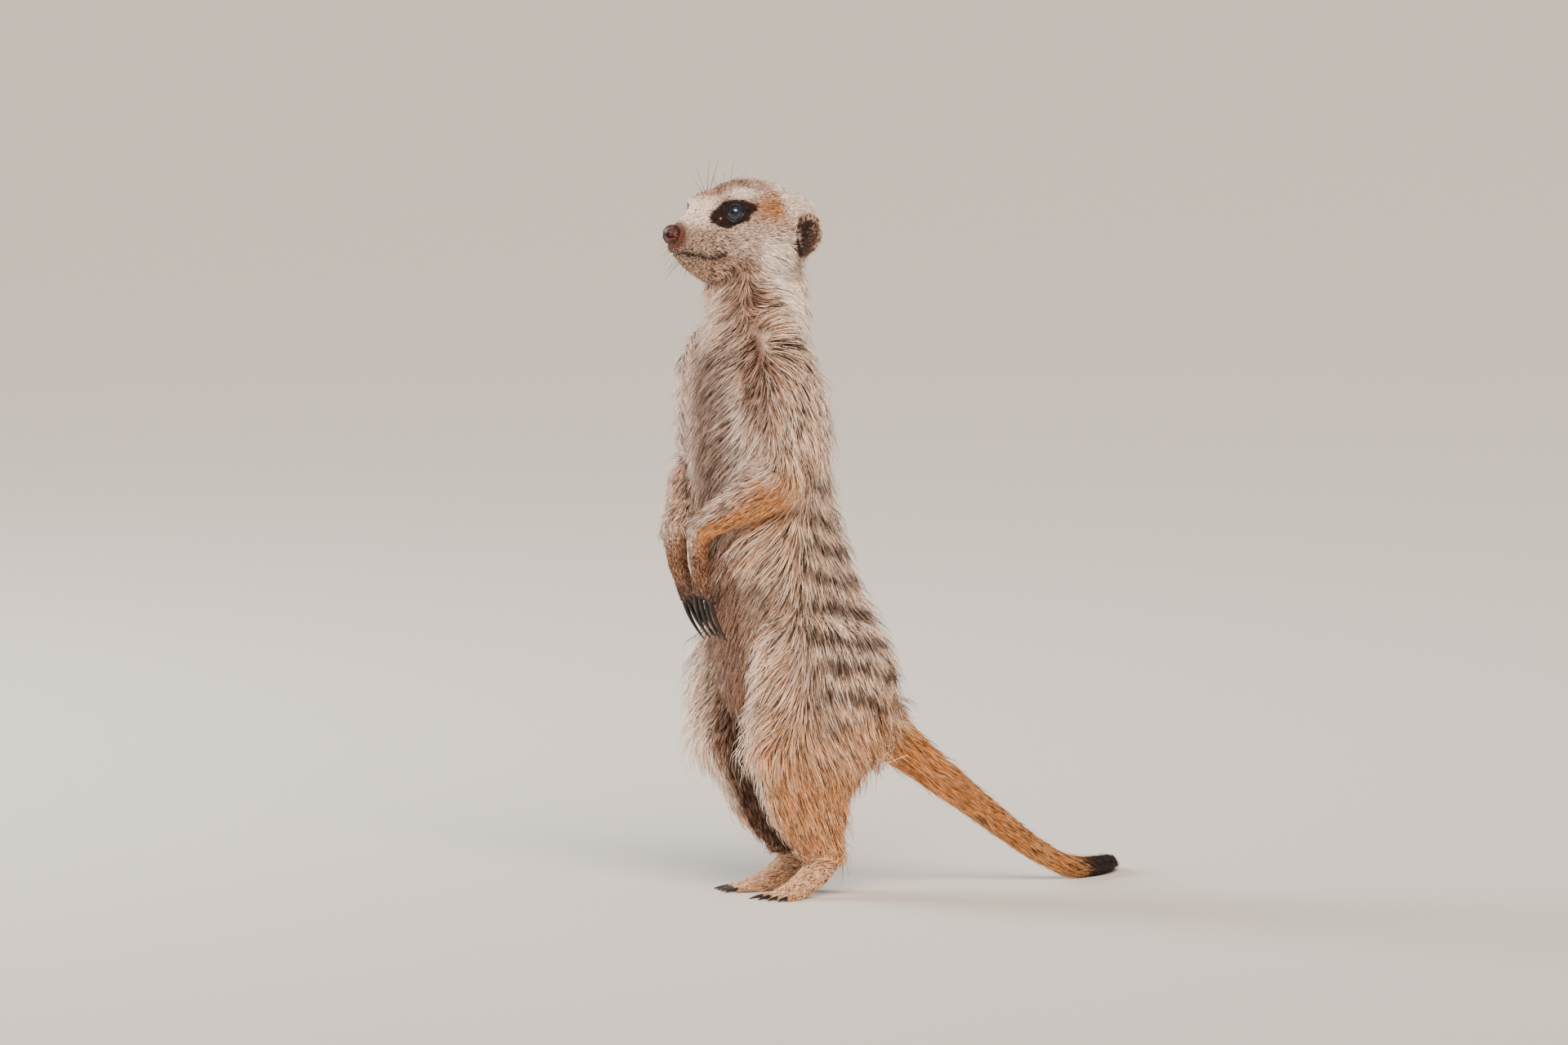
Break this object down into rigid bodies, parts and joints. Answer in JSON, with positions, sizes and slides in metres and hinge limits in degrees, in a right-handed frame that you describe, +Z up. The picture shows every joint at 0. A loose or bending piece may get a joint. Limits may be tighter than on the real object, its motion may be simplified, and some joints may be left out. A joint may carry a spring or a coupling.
{
  "type": "meerkat",
  "caption": "Life-size meerkat standing upright on its hind feet and tail, forepaws hanging in front, looking ahead; a still model.",
  "frame": {"origin": "middle of the bounding box's base, on the floor between the hind feet and the tail's tip", "axes": "-Y is where the animal looks, +X is its left side, +Z is up"},
  "size_m": [0.0895, 0.238, 0.3034],
  "materials": {
    "coat": "grizzled fur",
    "ear": "short dark fur",
    "eye": "wet gloss",
    "nose": "moist leather",
    "claw": "horn"
  },
  "bodies": {
    "root": {"head": "coat", "neck": "coat", "trunk": "coat", "tail_base": "coat", "tail_middle": "coat", "tail_tip": "coat", "upper_arm_left": "coat", "forearm_left": "coat", "hand_left": "coat", "thigh_left": "coat", "shank_left": "coat", "foot_left": "coat", "ear_left": "ear", "eye_left": "eye", "fore_claw_left_1": "claw", "hind_claw_left_1": "claw", "fore_claw_left_2": "claw", "hind_claw_left_2": "claw", "fore_claw_left_3": "claw", "hind_claw_left_3": "claw", "fore_claw_left_4": "claw", "hind_claw_left_4": "claw", "upper_arm_right": "coat", "forearm_right": "coat", "hand_right": "coat", "thigh_right": "coat", "shank_right": "coat", "foot_right": "coat", "ear_right": "ear", "eye_right": "eye", "fore_claw_right_1": "claw", "hind_claw_right_1": "claw", "fore_claw_right_2": "claw", "hind_claw_right_2": "claw", "fore_claw_right_3": "claw", "hind_claw_right_3": "claw", "fore_claw_right_4": "claw", "hind_claw_right_4": "claw", "nose": "nose"}
  },
  "joints": []
}
